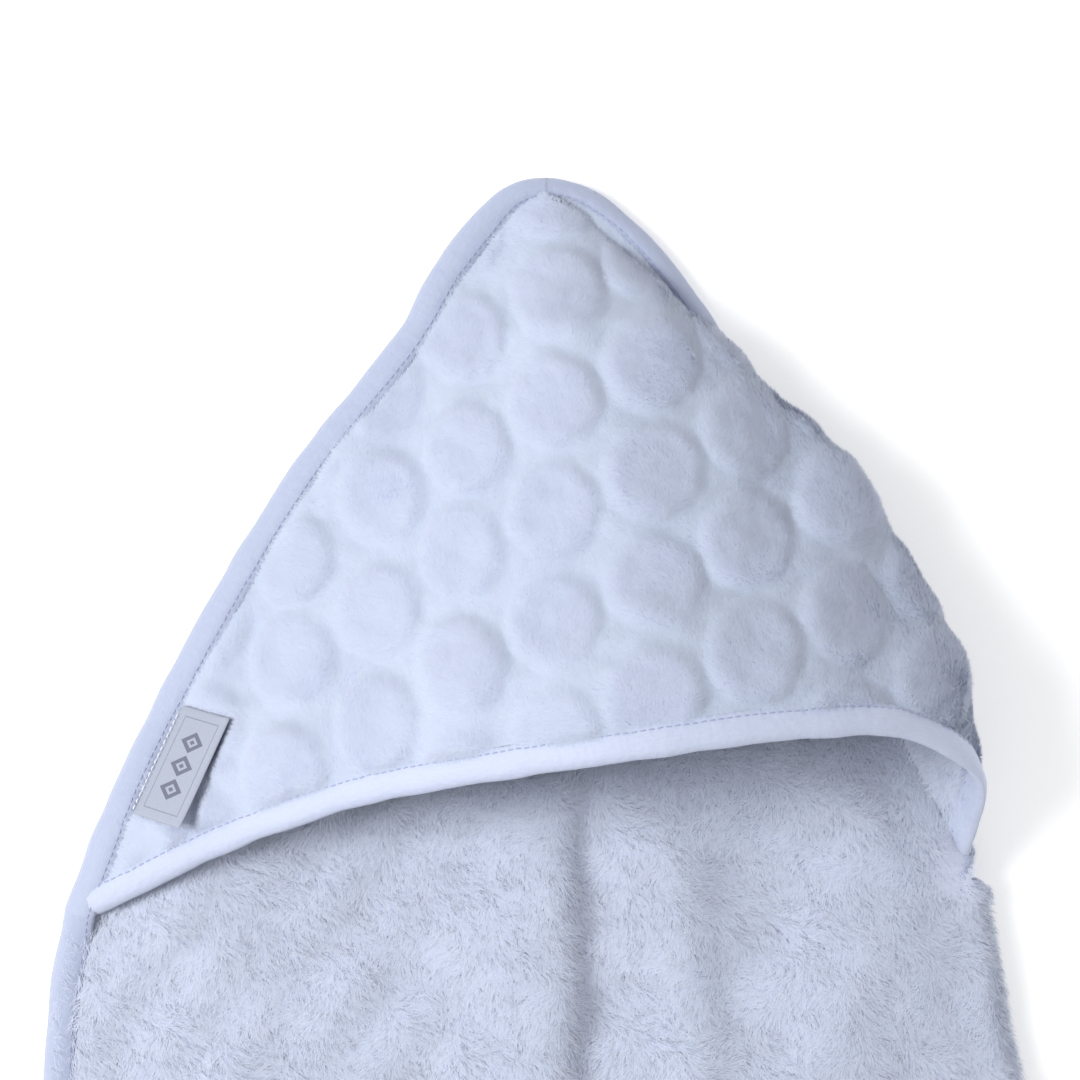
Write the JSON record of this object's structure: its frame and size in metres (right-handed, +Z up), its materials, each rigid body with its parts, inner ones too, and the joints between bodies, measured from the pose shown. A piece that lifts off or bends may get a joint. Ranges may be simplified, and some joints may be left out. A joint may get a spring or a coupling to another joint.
{
  "type": "hooded baby towel",
  "caption": "White plush baby towel, folded in half, with a bubble-embossed hood, satin bindings and a hinged woven label.",
  "frame": {"origin": "centre of the footprint, on the surface that the folded towel lies on", "axes": "+Y from the foot edge to the tip of the hood, +X to the folded side, +Z up out of the hood's crown"},
  "size_m": [0.3729, 0.7066, 0.1023],
  "materials": {
    "body_plush": "long-pile plush",
    "hood_plush": "bubble-embossed plush",
    "satin_tape": "satin bias tape",
    "seam_thread": "cotton thread",
    "woven_label": "woven satin label"
  },
  "bodies": {
    "towel": {"body_panel": "body_plush", "hood_panel": "hood_plush", "perimeter_binding": "satin_tape", "hood_edge_binding": "satin_tape", "perimeter_thread": "seam_thread", "hood_edge_thread": "seam_thread", "label_thread": "seam_thread"},
    "label": {"woven_label": "woven_label"}
  },
  "joints": [
    {"name": "label_flap", "type": "hinge", "parent": "towel", "child": "label", "pos_m": [-0.14346, 0.13505, 0.01777], "axis": [-0.3953, -0.8862, 0.2417], "range_deg": [0, 120]}
  ]
}
